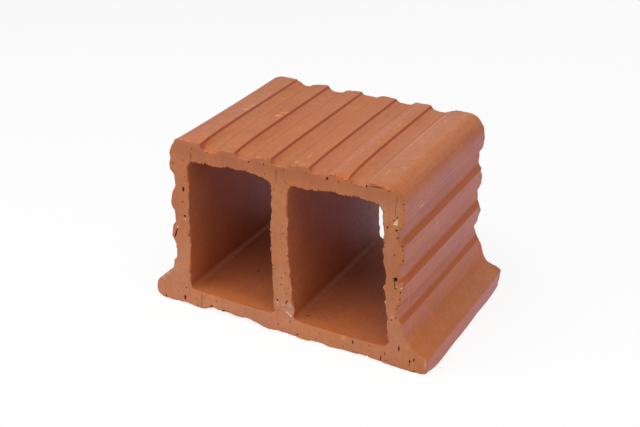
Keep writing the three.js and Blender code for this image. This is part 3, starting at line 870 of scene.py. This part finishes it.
WHITE, VIOLET = (1, 1, 1, 1), (0.8, 0.62, 1, 1)     # the gloss mirrors violet low down
RUNS_OUT, MIRRORED = 0.86, 0.75         # how far the sheet runs out to white, and is mirrored
REACH, THICK = 4.0, 0.0002              # in metres
paper_mesh = bpy.data.meshes.new("paper")
paper_mesh.from_pydata([(x * REACH, y * REACH, 0) for x, y in ((-1, -1), (1, -1), (1, 1), (-1, 1))],
                       [], [(0, 1, 2, 3)])
paper = in_scene("paper", paper_mesh)
paper.location.z = -THICK
white = bpy.data.materials.new("white_paper")
white.use_nodes = True
tree = white.node_tree
tree.nodes.remove(tree.nodes["Principled BSDF"])
# Farther off the sheet is darker, so that little of its light comes back to the block. The
# camera sees it white all over.
place = add(tree, "TexCoord").node.outputs["Object"]
away = add(tree, "VectorMath", {0: place}, operation="LENGTH").node.outputs["Value"]
near = add(tree, "MapRange", {"Value": away, 1: 0.25, 2: 0.75, 3: 0.93, 4: 0.35})
path = add(tree, "LightPath").node
by_camera = path.outputs["Is Camera Ray"]
near = add(tree, "Math", {0: near, 1: by_camera}, operation="MAXIMUM")
matt = add(tree, "BsdfDiffuse", {"Color": near})
hue = add(tree, "Mix", {0: by_camera, 6: VIOLET, 7: WHITE}, data_type="RGBA").node.outputs[2]
glow = add(tree, "Emission", {"Color": hue, "Strength": 1.0})
seen = add(tree, "Math", {0: path.outputs["Is Glossy Ray"], 1: path.outputs["Is Transmission Ray"]},
           operation="MAXIMUM")
seen = add(tree, "Math", {0: seen, 1: MIRRORED}, operation="MULTIPLY")
white_share = add(tree, "Math", {0: by_camera, 1: RUNS_OUT, 2: seen}, operation="MULTIPLY_ADD")
both = add(tree, "MixShader", {0: white_share, 1: matt, 2: glow})
tree.links.new(both, tree.nodes["Material Output"].inputs["Surface"])
paper_mesh.materials.append(white)


# ---------------------------------------------------------------- the studio
# A white room, whose ceiling and far wall the gloss of the clay mirrors dimly. The
# light comes from wide soft lamps above the front and low at the front left and the
# right, with a faint one low behind.

ROOM_LIGHT = 0.13                       # on the block from all round
world = bpy.data.worlds.new("white_room")
bpy.context.scene.world = world
world.use_nodes = True
tree = world.node_tree
room = tree.nodes["Background"]
way = add(tree, "TexCoord").node.outputs["Generated"]
way = add(tree, "SeparateXYZ", {0: way}).node
# The gloss mirrors a ceiling that is brighter at the left, and walls brighter at the front.
high_up = add(tree, "MapRange", {"Value": way.outputs["Z"], 1: 0.2, 2: 0.35})
ceiling = add(tree, "MapRange", {"Value": way.outputs["X"], 1: -0.25, 2: 0.0, 3: 0.7, 4: 0.2})
wall = add(tree, "MapRange", {"Value": way.outputs["Y"], 1: 0.1, 2: 0.35, 3: 1.0, 4: 0.15})
mirrored = add(tree, "Mix", {0: high_up, 2: wall, 3: ceiling})
path = add(tree, "LightPath").node
seen = add(tree, "Math", {0: path.outputs["Is Glossy Ray"], 1: path.outputs["Is Transmission Ray"]},
           operation="MAXIMUM")
glow = add(tree, "Mix", {0: seen, 2: ROOM_LIGHT, 3: mirrored})
glow = add(tree, "Mix", {0: path.outputs["Is Camera Ray"], 2: glow, 3: 1.0})
tree.links.new(glow, room.inputs["Strength"])
low_down = add(tree, "Math", {0: seen, 1: high_up}, operation="SUBTRACT", use_clamp=True)
hue = add(tree, "Mix", {0: low_down, 6: WHITE, 7: VIOLET}, data_type="RGBA").node.outputs[2]
tree.links.new(hue, room.inputs["Color"])

# The lamps: where each stands and how large it is, in metres, and its watts.
AIM = Vector((0, 0, 0.09))
for name, place, wide, deep, power in (
    ("overhead", (0, -0.58, 1.7), 2.3, 1.2, 29.6),
    ("low_left", (-1.24, -1.24, 0.5), 1.6, 0.9, 11.3),
    ("low_right", (1.8, -0.1, 0.5), 1.2, 0.8, 6.5),
    ("behind", (0.2, 1.4, 0.55), 1.2, 0.7, 2.0),
):
    lamp = bpy.data.lights.new(name, "AREA")
    lamp.shape, lamp.size, lamp.size_y, lamp.energy = "RECTANGLE", wide, deep, power
    holder = in_scene(name, lamp)
    holder.location = place
    holder.rotation_euler = (AIM - Vector(place)).to_track_quat("-Z", "Y").to_euler()

scene = bpy.context.scene
scene.view_settings.view_transform = "Standard"

# The camera stands at the block's front right, a metre off and well above it.
TURN, RISE, ROLL = math.radians(29.356), math.radians(27.747), math.radians(-0.715)
TARGET, DISTANCE = Vector((0.04051, -0.091, 0.14082)), 1.02196
lens = bpy.data.cameras.new("camera")
lens.sensor_width, lens.lens = 36, 64.82
camera = in_scene("camera", lens)
ahead = Vector((-math.sin(TURN) * math.cos(RISE), math.cos(TURN) * math.cos(RISE), -math.sin(RISE)))
right = Vector((math.cos(TURN), math.sin(TURN), 0))
up = right.cross(ahead)
right, up = (math.cos(ROLL) * right + math.sin(ROLL) * up, math.cos(ROLL) * up - math.sin(ROLL) * right)
camera.matrix_world = Matrix.Translation(TARGET - DISTANCE * ahead) @ Matrix((
    right, up, -ahead)).transposed().to_4x4()
scene.camera = camera

bpy.context.view_layer.update()
